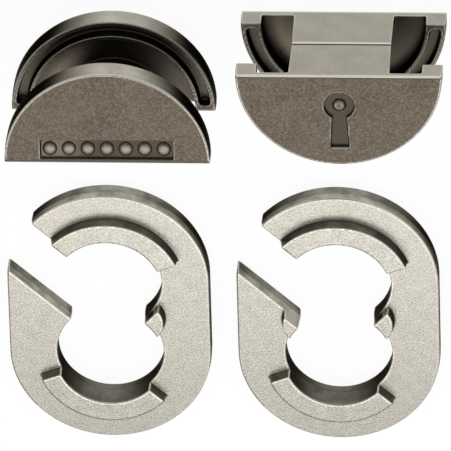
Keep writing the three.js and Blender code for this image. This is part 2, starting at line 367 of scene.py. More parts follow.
# The materials read these shares, from 0 to 1: one lightens edges as rubbed metal and painted
# highlight, one darkens hollows as patina and painted shade, one marks the side walls, which are
# painted dark as painted shade, and one gives walls that face one way a painted sheen. On a half
# disc, one marks the smooth faces along the split, one the space between the plates, which is
# painted dark as painted shade, one a painted pool of light there, and one the floor of a mark. A
# pair below holds where a share starts and where it is whole

CORNER_BEND = (0.05, 0.7)
WALL_TILT = (0.45, 0.85)

# Walls that face this way, in degrees from +X, get the most painted sheen, which stands for the
# light that they reflect. It is gone on walls that are turned away from there by the spread
SHEEN_SIDE = 84
LINK_SHEEN_SPREAD = 55
HALF_SHEEN_SPREAD = 45


def facing(normals, direction):
    """How far the surface faces that way, as seen from above."""
    return normals[:, 0] * direction[0] + normals[:, 1] * direction[1]


def wall_share(normals):
    """1 on side walls and 0 on level faces."""
    return ramp(1 - np.abs(normals[:, 2]), *WALL_TILT)


def painted_wall_sheen(normals, spread):
    """How much painted sheen a wall gets for the way that it faces."""
    turn = np.arctan2(normals[:, 1], normals[:, 0]) - math.radians(SHEEN_SIDE)
    turn = np.abs((turn + math.pi) % (2 * math.pi) - math.pi)
    return ramp(-turn, -math.radians(spread), 0)


# ---- links ---------------------------------------------------------------------------------

# Draft of the walls: above a link's parting line, on the other walls, and on ribs and bumps
FACE_DRAFT = math.tan(math.radians(5))
BACK_DRAFT = math.tan(math.radians(2))
RIB_DRAFT = math.tan(math.radians(6))

# Roundings of a rib or a bump, as shares of the outer edges' radius
RIB_END_EDGE = 0.5
RIB_TOP_EDGE = 0.7
RIB_OVERRUN = math.radians(15)     # of the upper rib past the gap, which cuts it off again

LINK_EDGE_REACH = 0.3 * MM
LINK_EDGE_BEND = (0.10, 0.45)
LINK_CORNER_REACH = 0.5 * MM

# Edges painted dark as painted shade: of the ribs towards -Y, round the lower rib's top, and along
# the outside on the left
DARK_RIB_DIRECTION = (0.0, -1.0)
DARK_RIB_FACING = (0.15, 0.4)
DARK_RIB_RISE = 0.5 * MM           # above the ribbed face
OUTLINE_WIDTH = 0.45 * MM
OUTLINE_FADE = 0.3 * MM
OUTLINE_DEPTH = 0.5 * MM           # below the rib's top
OUTLINE_DEPTH_FADE = 0.2 * MM
OUTLINE_START = (3 * MM, 6 * MM)   # towards -Y
FAR_SIDE_DIRECTION = (-0.9, -0.4)
FAR_SIDE_FACING = (0.2, 0.5)
FAR_SIDE_X = 0.75 * DISC_RADIUS
EDGE_SHADE_SHARE = 0.6

# Walls: in the eyes, the strip above the parting line, and both sides of the gap, with their shares
# of painted sheen
EYE_WALL_REACH = 0.3 * MM
FLASH_HALF_WIDTH = 0.3 * MM        # of the dark line half way down an eye
FLASH_FADE = 0.2 * MM
FLASH_SHARE = 0.5
OUTER_SHEEN_SHARE = 0.8
EYE_SHEEN_SHARE = 0.35
STRIP_EDGE = (-0.1 * MM, 0.2 * MM)  # above the parting line
STRIP_SHEEN_SHARE = 0.3
JAW_REACH = 0.6 * MM
JAW_START = (5 * MM, 8 * MM)       # along the gap
JAW_END = (12 * MM, 32 * MM)
JAW_SHEEN_SHARE = 0.5


def along_gap(x, y, slant):
    """Distances across the gap's middle line and outward along it."""
    y = y - EYE_SPACING / 2
    return left_of(x, y, slant), math.cos(slant) * x + math.sin(slant) * y


def link_field(size, centre, bump_sides):
    """One link about its lower eye's centre. bump_sides: 1 for the right bump, -1 for the left."""
    parting = size.thickness - size.parting_drop
    slant = size.gap_angle
    edge, foot = size.edge_radius, size.foot_radius
    end_edge, top_edge = RIB_END_EDGE * edge, RIB_TOP_EDGE * edge
    gap_half_width = EYE_SPACING * math.sin(slant) / 2
    waist = math.sqrt(size.eye_radius ** 2 - (EYE_SPACING / 2) ** 2)

    def rib(x, y, rise, start, sweep):
        """A rib that runs round the origin from start."""
        lean = RIB_DRAFT * rise
        ends = common(lean - left_of(x, y, start), lean + left_of(x, y, start + sweep), end_edge)
        block = common(np.hypot(x, y) - size.rib_radius + lean, ends, end_edge)
        return common(block, raised(rise), top_edge)

    def raised(rise):
        """The height that ribs and bumps take up, with their roots in the link."""
        return between(rise, -2 * foot, LINK_HEIGHT - size.thickness)

    def field(p):
        x, y, z = p[:, 0] - centre[0], p[:, 1] - centre[1], p[:, 2]
        lower = np.hypot(x, y)
        upper = np.hypot(x, y - EYE_SPACING)
        lean = np.where(z > parting, (z - parting) * FACE_DRAFT, (parting - z) * BACK_DRAFT)
        outline = np.hypot(x, y - np.clip(y, 0, EYE_SPACING)) - DISC_RADIUS
        solid = common(outline + lean, between(z, 0, size.thickness), edge)

        rise = z - size.thickness
        upper_start, lower_start = slant - size.rib_sweep, slant + math.pi - size.rib_sweep
        for block in (rib(x, y - EYE_SPACING, rise, upper_start, size.rib_sweep + RIB_OVERRUN),
                      rib(x, y, rise, lower_start, size.rib_sweep)):
            solid = weld(solid, block, foot)
        for side in bump_sides:
            top = left_of(side * x - waist, y - EYE_SPACING / 2, math.pi - slant)
            corner = common(lower - size.rib_radius, upper - size.rib_radius, size.bump_corner)
            bump = common(corner + RIB_DRAFT * rise, np.maximum(top, -side * x), end_edge)
            solid = weld(solid, common(bump, raised(rise), top_edge), foot)

        eye = size.eye_radius + BACK_DRAFT * np.abs(z - size.thickness / 2)
        solid = common(solid, eye - lower, edge)
        solid = common(solid, eye - upper, edge)
        across, outward = along_gap(x, y, slant)
        gap = np.maximum(np.abs(across) - gap_half_width - lean, -outward)
        return common(solid, -gap, edge)

    return field


def link_painted_edge_shade(edge, x, y, z, normals, sizes):
    """The edges of the ribs painted dark as painted shade, and the one along the outside on the
    left.
    """
    rib_edge = edge * ramp(facing(normals, DARK_RIB_DIRECTION), *DARK_RIB_FACING)
    rib_edge = rib_edge * (z > sizes.thickness + DARK_RIB_RISE)
    top_radius = sizes.rib_radius - RIB_DRAFT * (LINK_HEIGHT - sizes.thickness)
    outline = near(np.abs(np.hypot(x, y) - top_radius), OUTLINE_WIDTH, OUTLINE_FADE)
    outline = outline * near(LINK_HEIGHT - z, OUTLINE_DEPTH, OUTLINE_DEPTH_FADE)
    rib_edge = np.maximum(rib_edge, outline * ramp(-y, *OUTLINE_START))
    far_side = edge * ramp(facing(normals, FAR_SIDE_DIRECTION), *FAR_SIDE_FACING)
    return rib_edge, far_side * (x < -FAR_SIDE_X)


def link_wall_sheen(x, y, z, normals, in_eye, sizes):
    """How much painted sheen a link's walls get for the way that they face, with more on the strip
    above the parting line and on the inner ends of the gap's walls."""
    # Painted sheen: walls lighter by the way they face, and more on the strip and the jaws
    facing_share = np.where(in_eye, EYE_SHEEN_SHARE, OUTER_SHEEN_SHARE)
    above_parting = z - (sizes.thickness - sizes.parting_drop)
    strip_wall = ramp(above_parting, *STRIP_EDGE) * ~in_eye
    across, outward = along_gap(x, y, sizes.gap_angle)
    gap_half_width = EYE_SPACING * math.sin(sizes.gap_angle) / 2
    on_jaw = np.abs(np.abs(across) - gap_half_width) < JAW_REACH
    jaw = on_jaw * ramp(outward, *JAW_START) * (1 - ramp(outward, *JAW_END))
    return (facing_share * painted_wall_sheen(normals, LINK_SHEEN_SPREAD)
            + STRIP_SHEEN_SHARE * strip_wall + JAW_SHEEN_SHARE * jaw)


def link_wear(field, points, centre, normals, sizes):
    """The shares of wear on a link."""
    x, y, z = points[:, 0] - centre[0], points[:, 1] - centre[1], points[:, 2]
    from_eye = np.minimum(np.hypot(x, y), np.hypot(x, y - EYE_SPACING)) - sizes.eye_radius
    in_eye = from_eye < EYE_WALL_REACH
    # Edges lightened as rubbed metal and painted highlight
    edge = ramp(bend(field, points, LINK_EDGE_REACH), *LINK_EDGE_BEND)
    # Corners darkened as patina and painted shade
    hollow_patina_and_shade = ramp(-bend(field, points, LINK_CORNER_REACH), *CORNER_BEND)
    flash = in_eye * near(np.abs(z - sizes.thickness / 2), FLASH_HALF_WIDTH, FLASH_FADE)
    # Painted shade on the ribs' edges towards -Y, round the lower rib's top and along the outside
    # on the left
    rib_edge, far_side = link_painted_edge_shade(edge, x, y, z, normals, sizes)
    edge_shade = np.maximum(rib_edge, far_side)
    dark = np.maximum(EDGE_SHADE_SHARE * edge_shade, FLASH_SHARE * flash)
    return {
        "edge": edge * (1 - edge_shade),
        "hollow_patina_and_shade": np.maximum(hollow_patina_and_shade, dark),
        "wall": wall_share(normals),
        "painted_wall_sheen": link_wall_sheen(x, y, z, normals, in_eye, sizes),
    }


def make_link(name, node, bump_sides, body):
    """One shackle link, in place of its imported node."""
    sizes = bpy.context.scene.padlock_link
    low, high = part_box(node)
    centre = (low.x + DISC_RADIUS, low.y + DISC_RADIUS)
    field = link_field(sizes, centre, bump_sides)
    piece, points, normals = skin(name, field, low, high, LINK_STEP)
    for label, values in link_wear(field, points, centre, normals, sizes).items():
        add_attribute(piece, label, values)
    piece.data.materials.append(tumbled_zinc())
    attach(piece, body)
    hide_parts(node)


# ---- half-disc castings --------------------------------------------------------------------

HALF_EDGE_REACH = 0.35 * MM
HALF_EDGE_BEND = (0.15, 0.5)
HALF_CORNER_REACH = 0.8 * MM
HUB_DRAFT = 0.3                    # of the draft of the plates' walls
BOSS_POWER = 4                     # the higher, the flatter the boss's top
SLOT_STEP = 0.5                    # of the ring's width, from the boss to where the slot starts

# The smooth faces along the split, and the line where the two castings meet across the hub, painted
# as shade on the front casting and as a highlight on the rear one
SPLIT_FACING = (0.7, 0.95)
SPLIT_REACH = 0.4 * MM
SPLIT_FADE = 0.1 * MM
JOINT_LINE = 0.8 * MM
JOINT_FADE = 0.2 * MM
JOINT_SIDE_SHARE = 0.4             # of the line, round the back of the hub
HUB_REACH = 0.1 * MM
LIP_WIDTH = 0.6 * MM               # of the painted highlight along the outer edge of the split
LIP_FADE = 0.2 * MM

# Marks on a front face, and the dark line beside the split
NEAR_FACE = 1.2 * MM
MARK_FROM_RIM = (0.8 * MM, 1.2 * MM)
MARK_FROM_SPLIT = 0.4 * MM
FLOOR_DEPTH = (0.5, 0.9)           # of the marks' depth
FLOOR_CORNER_LOSS = 0.5
LINE_DEPTH = 0.15 * MM
LINE_DEPTH_FADE = 0.1 * MM
LINE_START = (0.1 * MM, 0.25 * MM)
LINE_END = 0.8 * MM
LINE_FADE = 0.3 * MM
LINE_SHARE = 0.8

# Bright edges, lighter as rubbed plating and painted highlight, with a painted highlight along the
# outer rim, fainter round the marks and down between the plates
RIM_HIGHLIGHT = 0.55 * MM
RIM_HIGHLIGHT_FADE = 0.35 * MM
BRIGHT_SHARE = 0.65
MARK_EDGE_LOSS = 0.75
DEEP_EDGE = (3 * MM, 4 * MM)
DEEP_EDGE_LOSS = 0.6
CORNER_SHARE = 0.8

# Between the plates, painted dark as painted shade, and the patch towards -X, painted lighter as a
# painted pool of light
INNER_SHADE_DEPTH = (0.4 * MM, 1.0 * MM)
INNER_SHADE_FROM_RIM = (0.5 * MM, 1.2 * MM)
LIT_PATCH_START = (4 * MM, 9 * MM)
LIT_PATCH_RADIUS = 16.5 * MM
LIT_PATCH_FADE = 2.5 * MM


def keyhole(x, y, depth, marks):
    """The sunk ring, its domed boss and the tapered slot, as the space that they take."""
    from_middle = np.hypot(x, y - marks.ring_drop)
    sink = marks.sink * np.clip((from_middle / marks.boss_radius) ** BOSS_POWER, 0, 1)
    ring = np.maximum(from_middle - marks.ring_radius, depth - sink)
    slot_start = marks.ring_drop + marks.boss_radius
    share = np.clip((y - slot_start) / (marks.slot_end - slot_start), 0, 1)
    half_width = (marks.slot_top_width + share * (marks.slot_end_width - marks.slot_top_width)) / 2
    below_boss = SLOT_STEP * (marks.ring_radius - marks.boss_radius)
    slot = np.maximum(np.abs(x) - half_width, between(y, slot_start + below_boss, marks.slot_end))
    return np.minimum(ring, np.maximum(slot, depth - marks.sink))


def strip(x, y, depth, marks):
    """The sunk strip that the studs stand in, as the space that it takes."""
    across = between(y, marks.strip_start, marks.strip_start + marks.strip_height)
    outline = common(np.abs(x) - marks.strip_width / 2, across, marks.strip_corner)
    return np.maximum(outline, depth - marks.sink)


def half_place(points, centre, side, front):
    """Points by their place across the split face, away from it, and below the outer face."""
    depth = TOTAL_DEPTH - points[:, 2] if front else points[:, 2]
    return points[:, 0] - centre[0], side * (points[:, 1] - centre[1]), depth


def half_field(size, marks, centre, side, front, mark):
    """One casting. side is 1 where its metal lies towards +Y, and mark is the mark sunk in it."""

    def field(p):
        x, y, depth = half_place(p, centre, side, front)
        radius = np.hypot(x, y)
        edge, cut = size.edge_radius, size.cut_radius
        plate = common(radius - DISC_RADIUS + BACK_DRAFT * np.abs(depth - size.rim_depth / 2),
                       between(depth, 0, size.rim_depth), edge)
        recess = common(radius - size.rim_radius, size.web_thickness - depth, size.web_fillet)
        plate = carve(plate, recess, size.inner_edge)
        groove_out = DISC_RADIUS - size.groove_outer_wall
        groove_in = size.rim_radius + size.groove_inner_wall
        groove = np.abs(radius - (groove_out + groove_in) / 2) - (groove_out - groove_in) / 2
        groove = common(groove, size.groove_end_wall - y, size.groove_corner)
        groove_floor = size.rim_depth - size.groove_depth
        groove = common(groove, groove_floor - depth, size.groove_fillet)
        plate = carve(plate, groove, size.inner_edge)
        hub = common(radius - size.hub_radius + HUB_DRAFT * BACK_DRAFT * depth,
                     between(depth, size.web_thickness / 2, SPLIT_HEIGHT), edge)
        solid = weld(plate, hub, size.hub_fillet)
        hole = np.hypot(np.abs(x) - size.dowel_offset, y - size.dowel_depth) - size.dowel_radius
        hole = np.maximum(hole, SPLIT_HEIGHT - size.dowel_reach - depth)
        solid = carve(solid, hole, size.hole_edge)
        solid = common(solid, -y, cut)
        if mark:
            solid = carve(solid, mark(x, y, depth, marks), marks.edge_radius)
        return solid

    return field


def front_wear(x, y, depth, on_split, marks):
    """On a front casting: the floors of its marks, all of its marks, and the dark line that runs
    along its face beside the split."""
    from_rim = DISC_RADIUS - np.hypot(x, y)
    near_face = depth < NEAR_FACE
    start, whole = FLOOR_DEPTH
    floor = ramp(depth, start * marks.sink, whole * marks.sink) * near_face
    floor = floor * ramp(from_rim, *MARK_FROM_RIM) * (1 - on_split)
    on_mark = (from_rim > MARK_FROM_RIM[0]) * (y > MARK_FROM_SPLIT) * near_face
    line = near(depth, LINE_DEPTH, LINE_DEPTH_FADE) * ramp(y, *LINE_START)
    return floor, on_mark, line * near(y, LINE_END, LINE_FADE)


def half_wear(field, points, centre, normals, side, front, size, marks):
    """The shares of wear on a half disc's casting."""
    x, y, depth = half_place(points, centre, side, front)
    radius = np.hypot(x, y)
    from_rim = DISC_RADIUS - radius
    on_split = ramp(facing(normals, (0, -side)), *SPLIT_FACING) * near(y, SPLIT_REACH, SPLIT_FADE)
    floor, on_mark, line = (front * wear for wear in front_wear(x, y, depth, on_split, marks))

    # Across the hub the front casting ends in a line of painted shade, and the rear one in a
    # painted highlight
    joint = near(SPLIT_HEIGHT - depth, JOINT_LINE, JOINT_FADE)
    joint = joint * (radius < size.hub_radius + HUB_REACH)
    joint = joint * (JOINT_SIDE_SHARE + (1 - JOINT_SIDE_SHARE) * on_split)
    joint_shade, joint_highlight = (joint, 0) if front else (0, joint)
    # Painted highlight along the outer edge of the split
    lip_highlight = on_split * near(depth, LIP_WIDTH, LIP_FADE)

    # Edges lightened as rubbed plating and painted highlight, with a painted highlight along the
    # outer rim
    edge = ramp(bend(field, points, HALF_EDGE_REACH), *HALF_EDGE_BEND)
    edge = edge * (1 - MARK_EDGE_LOSS * on_mark) * (1 - DEEP_EDGE_LOSS * ramp(depth, *DEEP_EDGE))
    rim_highlight = near(np.hypot(from_rim, depth), RIM_HIGHLIGHT, RIM_HIGHLIGHT_FADE)
    edge = BRIGHT_SHARE * np.maximum(edge, rim_highlight) * (1 - joint_shade) * (1 - line)
    # Corners darkened as patina and painted shade
    corner = ramp(-bend(field, points, HALF_CORNER_REACH), *CORNER_BEND)
    corner = CORNER_SHARE * corner * (1 - FLOOR_CORNER_LOSS * floor)

    # Painted shade between the plates, and a painted pool of light on the patch towards -X
    inside = ramp(depth, *INNER_SHADE_DEPTH) * ramp(from_rim, *INNER_SHADE_FROM_RIM) * (1 - on_split)
    painted_lit_patch = ramp(-x, *LIT_PATCH_START) * near(radius, LIT_PATCH_RADIUS, LIT_PATCH_FADE)
    return {
        "edge": np.maximum(edge, np.maximum(joint_highlight, lip_highlight)),
        "hollow_patina_and_shade": np.maximum(corner, np.maximum(joint_shade, LINE_SHARE * line)),
        "wall": wall_share(normals),
        "cut": on_split * (1 - joint_shade),
        "inside": inside * (1 - painted_lit_patch),
        "smooth": floor,
        "painted_lit_patch": inside * painted_lit_patch,
        # Painted sheen on walls that face one way
        "painted_wall_sheen": painted_wall_sheen(normals, HALF_SHEEN_SPREAD),
    }


def make_half(name, nodes, side, body, mark):
    """The rear and front castings of one half disc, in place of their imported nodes."""
    size, marks = bpy.context.scene.padlock_half, bpy.context.scene.padlock_marks
    for part, node in zip(("rear", "front"), nodes):
        front = part == "front"
        low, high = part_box(node)
        centre = ((low.x + high.x) / 2, low.y if side > 0 else high.y)
        field = half_field(size, marks, centre, side, front, mark if front else None)
        piece, points, normals = skin(f"{name}_{part}_cast", field, low, high, HALF_STEP)
        wear = half_wear(field, points, centre, normals, side, front, size, marks)
        for label, values in wear.items():
            add_attribute(piece, label, values)
        piece.data.materials.append(antique_zinc())
        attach(piece, body)
        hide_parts(node)


# ---- materials -----------------------------------------------------------------------------


def add_node(tree, kind, settings=None, **inputs):
    """A node with its settings. An input is a value, or a socket to link from, and is given by
    its name, or as i and its number where names repeat."""
    node = tree.nodes.new(kind)
    for key, value in (settings or {}).items():
        setattr(node, key, value)
    for key, value in inputs.items():
        numbered = key[0] == "i" and key[1:].isdigit()
        socket = node.inputs[int(key[1:]) if numbered else key.replace("_", " ")]
        if isinstance(value, bpy.types.NodeSocket):
            tree.links.new(value, socket)
        else:
            socket.default_value = value
    return node


def new_material(name):
    """An empty material and its node tree."""
    material = bpy.data.materials.new(name)
    material.use_nodes = True
    material.node_tree.nodes.clear()
    return material, material.node_tree


def speckle(tree, size, low, high):
    """Noise of about that grain size on the object, from 0 below low to 1 above high."""
    place = add_node(tree, "ShaderNodeTexCoord").outputs["Object"]
    noise = add_node(tree, "ShaderNodeTexNoise", Vector=place, Scale=1 / size, Detail=2.0,
                     Roughness=0.6).outputs["Fac"]
    return add_node(tree, "ShaderNodeMapRange", i0=noise, i1=low, i2=high).outputs[0]


def layered(tree, colour, layers):
    """A colour with others laid over it in turn, each given as its share, strength and colour."""
    for share, strength, over in layers:
        if isinstance(share, str):
            share = add_node(tree, "ShaderNodeAttribute", {"attribute_name": share}).outputs["Fac"]
        amount = add_node(tree, "ShaderNodeMath", {"operation": "MULTIPLY"}, i0=share, i1=strength)
        colour = add_node(tree, "ShaderNodeMix", {"data_type": "RGBA"}, i0=amount.outputs[0],
                          i6=colour, i7=over).outputs[2]
    return colour


def finish_metal(tree, colour, roughness, height, depth, glancing=(1, 1, 1, 1)):
    """The metal surface itself, with its grain as a bump of that depth."""
    bump = add_node(tree, "ShaderNodeBump", Strength=1.0, Distance=depth, Height=height)
    surface = add_node(tree, "ShaderNodeBsdfPrincipled", Base_Color=colour, Metallic=1.0,
                       Roughness=roughness, Specular_Tint=glancing, Normal=bump.outputs[0])
    add_node(tree, "ShaderNodeOutputMaterial", Surface=surface.outputs[0])


def tumbled_zinc():
    """Zinc alloy, die cast and tumbled with abrasive media: a pale satin face with fine dull
    specks, side walls painted dark as painted shade and lighter as painted sheen where they face
    one way, corners darkened as patina and painted shade, and edges lighter as rubbed metal and
    painted highlight."""
    name = "tumbled_zinc"
    if name in bpy.data.materials:
        return bpy.data.materials[name]
    look = bpy.context.scene.padlock_finish
    material, tree = new_material(name)
    # The media's dull marks, and the patina's clouds and streaks, which are millimetres across
    grain = speckle(tree, look.grain, 0.4, 0.7)
    cloud = speckle(tree, 2.5 * MM, 0.4, 0.7)
    streak = speckle(tree, 4 * MM, 0.4, 0.65)
    face = layered(tree, look.link_face, [(grain, 0.7, look.link_speck),
                                          (cloud, 0.2, look.link_speck)])
    # Side walls: painted dark as painted shade, with a painted sheen where they face one way, and
    # random streaks
    wall = layered(tree, look.link_wall_shade, [("painted_wall_sheen", 1.0, look.link_wall_sheen),
                                          (streak, 0.5, look.link_wall_shade)])
    # Corners darkened as patina and painted shade
    colour = layered(tree, face, [("wall", 1.0, wall), ("hollow_patina_and_shade", 0.7, look.patina_and_shade),
                                  # Edges lightened as rubbed metal and painted highlight
                                  ("edge", 0.7, look.link_edge)])
    finish_metal(tree, colour, 0.4, grain, 0.01 * MM, look.glancing)
    return material


def antique_zinc():
    """Zinc alloy, die cast and antique plated: dark brown-grey with pale specks where the plating
    was brushed back, near black in corners as patina and painted shade, and smooth and lighter
    along the split. Its side walls and the space between the plates are painted dark as painted
    shade, and it has a painted sheen on walls that face one way, a painted pool of light between
    the plates, and painted highlights on its edges with the rubbed plating."""
    name = "antique_zinc"
    if name in bpy.data.materials:
        return bpy.data.materials[name]
    look = bpy.context.scene.padlock_finish
    material, tree = new_material(name)
    # The casting's grain and pits, and the plating's clouds and streaks
    grain = speckle(tree, look.grain, 0.4, 0.68)
    pit = speckle(tree, 0.7 * look.grain, 0.5, 0.7)
    cloud = speckle(tree, 5 * MM, 0.35, 0.7)
    streak = speckle(tree, 7 * MM, 0.4, 0.65)
    face = layered(tree, look.disc_face, [(grain, 0.6, look.disc_speck), (pit, 0.4, look.patina_and_shade),
                                          (cloud, 0.15, look.disc_speck)])
    cut = layered(tree, look.cut_face, [(cloud, 0.12, look.disc_face),
                                        (grain, 0.12, look.disc_face)])
    # Side walls: painted dark as painted shade, with a painted sheen where they face one way, and
    # random streaks
    wall = layered(tree, look.disc_wall_shade, [("painted_wall_sheen", 0.9, look.disc_wall_sheen),
                                          (streak, 0.3, look.disc_wall_shade)])
    # Corners darkened as patina and painted shade
    colour = layered(tree, face, [
        # Between the plates painted dark as painted shade; the patch towards -X painted lighter as
        # a pool of light
        ("wall", 1.0, wall), ("inside", 0.85, look.patina_and_shade), ("smooth", 0.8, look.disc_smooth),
        ("painted_lit_patch", 0.6, look.disc_speck), ("hollow_patina_and_shade", 0.95, look.patina_and_shade), ("cut", 1.0, cut),
        # Edges lightened as rubbed plating and painted highlight
        ("edge", 0.9, look.disc_edge),
    ])
    finish_metal(tree, colour, 0.42, grain, 0.01 * MM, look.glancing)
    return material


def ground_steel():
    """Dowel steel, ground without centres: plain grey, slightly uneven."""
    look = bpy.context.scene.padlock_finish
    material, tree = new_material("ground_steel")
    patches = speckle(tree, 1.5 * MM, 0.3, 0.7)
    colour = layered(tree, look.steel, [(patches, 1.0, look.steel_bright)])
    finish_metal(tree, colour, 0.3, patches, 0.002 * MM)
    return material


# ---- studs in the sunk strip ---------------------------------------------------------------

STUD_SEGMENTS = 32
STUD_RINGS = 20

# Wear, patina and painted light on a stud: a lighter top as rubbed plating and painted highlight, a
# darker foot as patina and painted shade, with the parts of its rise over which each comes and goes
STUD_EDGE_SHARE = 0.15
STUD_EDGE_RISE = (0.5, 1.0)
STUD_FOOT_SHARE = 0.5
STUD_FOOT_RISE = 0.6


def stud_tree(material):
    """A row of oval studs, a pitch apart along X, centred on the middle."""
    tree = bpy.data.node_groups.new("stud_row", "GeometryNodeTree")
    face = tree.interface
    face.new_socket("Geometry", in_out="OUTPUT", socket_type="NodeSocketGeometry")
    face.new_socket("Count", in_out="INPUT", socket_type="NodeSocketInt")
    for label in ("Pitch", "Stud Width", "Stud Height", "Rise"):
        face.new_socket(label, in_out="INPUT", socket_type="NodeSocketFloat")
    face.new_socket("Middle", in_out="INPUT", socket_type="NodeSocketVector")
    given = add_node(tree, "NodeGroupInput").outputs

    steps_back = add_node(tree, "ShaderNodeMath", {"operation": "MULTIPLY_ADD"},
                          i0=given["Count"], i1=-0.5, i2=0.5).outputs[0]
    shift = add_node(tree, "ShaderNodeMath", {"operation": "MULTIPLY"},
                     i0=steps_back, i1=given["Pitch"]).outputs[0]
    offset = add_node(tree, "ShaderNodeCombineXYZ", X=shift).outputs[0]
    start = add_node(tree, "ShaderNodeVectorMath", {"operation": "ADD"},
                     i0=given["Middle"], i1=offset).outputs[0]
    step = add_node(tree, "ShaderNodeCombineXYZ", X=given["Pitch"]).outputs[0]
    places = add_node(tree, "GeometryNodeMeshLine", Count=given["Count"], Start_Location=start,
                      Offset=step).outputs[0]

    size = add_node(tree, "ShaderNodeCombineXYZ", X=given["Stud Width"],
                    Y=given["Stud Height"]).outputs[0]
    half_size = add_node(tree, "ShaderNodeVectorMath", {"operation": "SCALE"},
                         i0=size, Scale=0.5).outputs[0]
    rise = add_node(tree, "ShaderNodeCombineXYZ", Z=given["Rise"]).outputs[0]
    scale = add_node(tree, "ShaderNodeVectorMath", {"operation": "ADD"},
                     i0=half_size, i1=rise).outputs[0]
    ball = add_node(tree, "GeometryNodeMeshUVSphere", Segments=STUD_SEGMENTS, Rings=STUD_RINGS,
                    Radius=1.0).outputs[0]
    studs = add_node(tree, "GeometryNodeInstanceOnPoints", Points=places, Instance=ball,
                     Scale=scale).outputs[0]
    real = add_node(tree, "GeometryNodeRealizeInstances", Geometry=studs).outputs[0]
    smooth = add_node(tree, "GeometryNodeSetShadeSmooth", Geometry=real).outputs[0]
    painted = add_node(tree, "GeometryNodeSetMaterial", Geometry=smooth,
                       Material=material).outputs[0]
    add_node(tree, "NodeGroupOutput", Geometry=painted)
    return tree


def make_studs():
    """The raised studs of the upper half's sunk strip."""
    marks = bpy.context.scene.padlock_marks
    low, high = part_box("upper_front_casting")
    strip_middle = low.y + marks.strip_start + marks.strip_height / 2
    middle = ((low.x + high.x) / 2, strip_middle, TOTAL_DEPTH - marks.sink)
    host = bpy.data.objects.new("stud_row_host", bpy.data.meshes.new("stud_row_host"))
    bpy.context.scene.collection.objects.link(host)
    modifier = host.modifiers.new("Studs", "NODES")
    modifier.node_group = stud_tree(antique_zinc())
    values = {
        "Pitch": marks.strip_width / marks.stud_count, "Stud Width": marks.stud_width,
        "Stud Height": marks.stud_height, "Rise": marks.stud_rise,
        "Count": marks.stud_count, "Middle": middle,
    }
    for item in modifier.node_group.interface.items_tree:
        if item.in_out == "INPUT":
            modifier[item.identifier] = values[item.name]
    graph = bpy.context.evaluated_depsgraph_get()
    mesh = bpy.data.meshes.new_from_object(host.evaluated_get(graph))
    bpy.data.objects.remove(host)
    studs = bpy.data.objects.new("strip_studs", mesh)
    bpy.context.scene.collection.objects.link(studs)
    rise = (np.array([v.co.z for v in mesh.vertices]) - middle[2]) / marks.stud_rise
    # A lighter top as rubbed plating and painted highlight, and a darker foot as patina and painted
    # shade
    add_attribute(studs, "edge", STUD_EDGE_SHARE * ramp(rise, *STUD_EDGE_RISE))
    add_attribute(studs, "hollow_patina_and_shade", STUD_FOOT_SHARE * (1 - ramp(rise, 0, STUD_FOOT_RISE)))
    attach(studs, "upper_half")


# ---- stage ---------------------------------------------------------------------------------

FLOOR_REACH = 6.0
CAMERA_REACH = 20.0
OVERHEAD_HEIGHT = 0.7       # of the view upwards, from which the surround is at its palest


def make_camera():
    """A long lens above the +Y side, so that the links lie at the bottom of the view."""
    stage = bpy.context.scene.padlock_stage
    flat = math.cos(stage.elevation)
    back = Vector((flat * math.sin(stage.sideways), flat * math.cos(stage.sideways),
                   math.sin(stage.elevation)))
    up = back.cross(Vector((1, 0, 0))).normalized()
    if up.y < 0:
        up = -up
    right = up.cross(back)
    turn = Matrix((right, up, back)).transposed().to_4x4() @ Matrix.Rotation(stage.roll, 4, "Z")
    data = bpy.data.cameras.new("Camera")
    data.lens = data.sensor_width * stage.distance / stage.view_width
    data.clip_end = CAMERA_REACH
    camera = bpy.data.objects.new("Camera", data)
    bpy.context.scene.collection.objects.link(camera)
    camera.matrix_world = Matrix.Translation(Vector(stage.aim) + back * stage.distance) @ turn
    bpy.context.scene.camera = camera


def make_lamp():
    """A soft oblong lamp over the -Y side, aimed at the set."""
    stage = bpy.context.scene.padlock_stage
    data = bpy.data.lights.new("key_lamp", "AREA")
    data.shape = "RECTANGLE"
    data.size, data.size_y = stage.lamp_width, stage.lamp_height
    data.energy = stage.lamp_power
    lamp = bpy.data.objects.new("key_lamp", data)
    bpy.context.scene.collection.objects.link(lamp)
    place = Vector(stage.lamp_place)
    lamp.location = place
    lamp.rotation_euler = (-place).to_track_quat("-Z", "Y").to_euler()


def make_world():
    """An even pale surround, a little dimmer towards the horizon."""
    stage = bpy.context.scene.padlock_stage
    world = bpy.data.worlds.new("Studio")
    bpy.context.scene.world = world
    world.use_nodes = True
    tree = world.node_tree
    tree.nodes.clear()
    place = add_node(tree, "ShaderNodeTexCoord").outputs["Generated"]
    height = add_node(tree, "ShaderNodeSeparateXYZ", Vector=place).outputs["Z"]
    share = add_node(tree, "ShaderNodeMapRange", i0=height, i1=0.0, i2=OVERHEAD_HEIGHT).outputs[0]
    colour = layered(tree, stage.horizon, [(share, 1.0, stage.overhead)])
    background = add_node(tree, "ShaderNodeBackground", Color=colour, Strength=1.0)
    add_node(tree, "ShaderNodeOutputWorld", Surface=background.outputs[0])


